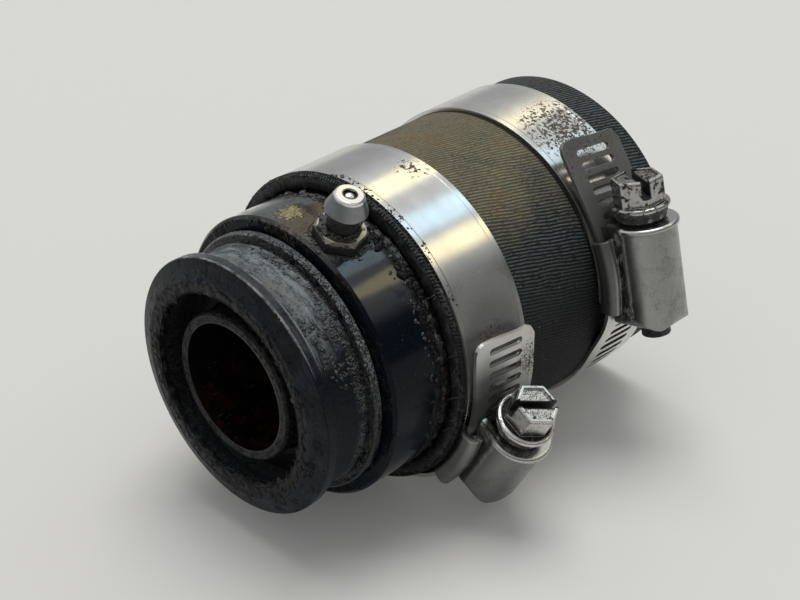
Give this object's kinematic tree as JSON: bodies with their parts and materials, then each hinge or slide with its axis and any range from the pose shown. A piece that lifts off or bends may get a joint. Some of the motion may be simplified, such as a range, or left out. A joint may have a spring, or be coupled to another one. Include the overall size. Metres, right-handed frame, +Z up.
{
  "type": "shaft seal carrier with clamped hose sleeve",
  "caption": "Greased round carrier for a rotating shaft sleeve, joined to a rubber hose sleeve that worm-drive clamps hold.",
  "frame": {"origin": "on the shaft axis, at the front end of the shaft sleeve, at the mouth of the shaft bore", "axes": "+X along the shaft axis from the nose flange to the open end of the hose, +Z up, -Y towards the side with the clamp screws"},
  "size_m": [0.0745, 0.0615, 0.0553],
  "materials": {
    "black_housing": "hard black anodise, glossy on the barrel, dusty and greasy at the nose",
    "black_ring": "hard black anodise with packed dirt",
    "sleeve_steel": "ground steel, stained red-brown and wet with old grease",
    "seal_case": "pressed steel under old grease",
    "seal_rubber": "nitrile, greasy",
    "spring_steel": "drawn spring wire, oiled",
    "bearing_steel": "ground and honed bearing steel, oiled",
    "cage_brass": "machined brass, oiled",
    "ring_steel": "phosphated spring steel",
    "nipple_zinc": "zinc-plated steel, worn bright at the tip, stained at the hexagon",
    "check_ball": "polished ball",
    "hose_rubber": "dull charcoal rubber with a fine cloth-wrap rib and brown-grey dust",
    "band_steel": "satin stainless strip with dirt specks",
    "clamp_steel": "satin stainless pressing",
    "screw_steel": "plated steel, bright on the corners with dirt in the slot"
  },
  "bodies": {
    "carrier": {"nose_flange": "black_housing", "nose_o_ring": "seal_rubber", "lock_ring": "black_ring", "carrier_body": "black_housing", "front_seal_case": "seal_case", "front_seal_lip": "seal_rubber", "front_garter_spring": "spring_steel", "bearing_outer_ring": "bearing_steel", "bearing_snap_ring": "ring_steel", "rear_seal_case": "seal_case", "rear_seal_lip": "seal_rubber", "rear_garter_spring": "spring_steel", "nipple_body": "nipple_zinc", "nipple_spring": "spring_steel", "hose_sleeve": "hose_rubber", "near_band": "band_steel", "near_saddle": "clamp_steel", "near_housing": "clamp_steel", "far_band": "band_steel", "far_saddle": "clamp_steel", "far_housing": "clamp_steel"},
    "shaft_sleeve": {"shaft_sleeve": "sleeve_steel", "bearing_inner_ring": "bearing_steel", "sleeve_retaining_ring": "ring_steel"},
    "ball_cage": {"bearing_cage": "cage_brass", "bearing_balls": "bearing_steel"},
    "check_ball": {"nipple_ball": "check_ball"},
    "near_screw": {"near_screw": "screw_steel"},
    "near_tail": {"near_band_tail": "band_steel"},
    "far_screw": {"far_screw": "screw_steel"},
    "far_tail": {"far_band_tail": "band_steel"}
  },
  "joints": [
    {"name": "sleeve_spin", "type": "hinge", "parent": "carrier", "child": "shaft_sleeve", "pos_m": [0.0223, 0, 0], "axis": [1, 0, 0], "continuous": true},
    {"name": "cage_orbit", "type": "hinge", "parent": "carrier", "child": "ball_cage", "pos_m": [0.0223, 0, 0], "axis": [1, 0, 0], "continuous": true},
    {"name": "nipple_check", "type": "slide", "parent": "carrier", "child": "check_ball", "axis": [0, 0.2924, -0.9563], "range_m": [0, 0.0008], "stiffness_N_per_m": 100, "springref_m": -0.0008, "deforming": ["nipple_spring"]},
    {"name": "near_screw_turn", "type": "hinge", "parent": "carrier", "child": "near_screw", "pos_m": [0.02985, -0.02589, -0.01435], "axis": [0, 0.4848, -0.8746], "range_deg": [-360, 1080]},
    {"name": "near_tail_draw", "type": "hinge", "parent": "carrier", "child": "near_tail", "pos_m": [0.02985, 0, 0], "axis": [-1, 0, 0], "range_deg": [-4.6, 13.75]},
    {"name": "far_screw_turn", "type": "hinge", "parent": "carrier", "child": "far_screw", "pos_m": [0.06045, -0.02872, 0.00716], "axis": [0, -0.2419, -0.9703], "range_deg": [-360, 1080]},
    {"name": "far_tail_draw", "type": "hinge", "parent": "carrier", "child": "far_tail", "pos_m": [0.06045, 0, 0], "axis": [-1, 0, 0], "range_deg": [-4.6, 13.75]}
  ],
  "couplings": [
    {"joint": "cage_orbit", "follows": "sleeve_spin", "ratio": 0.44355},
    {"joint": "near_tail_draw", "follows": "near_screw_turn", "ratio": 0.012684},
    {"joint": "far_tail_draw", "follows": "far_screw_turn", "ratio": 0.012684}
  ]
}
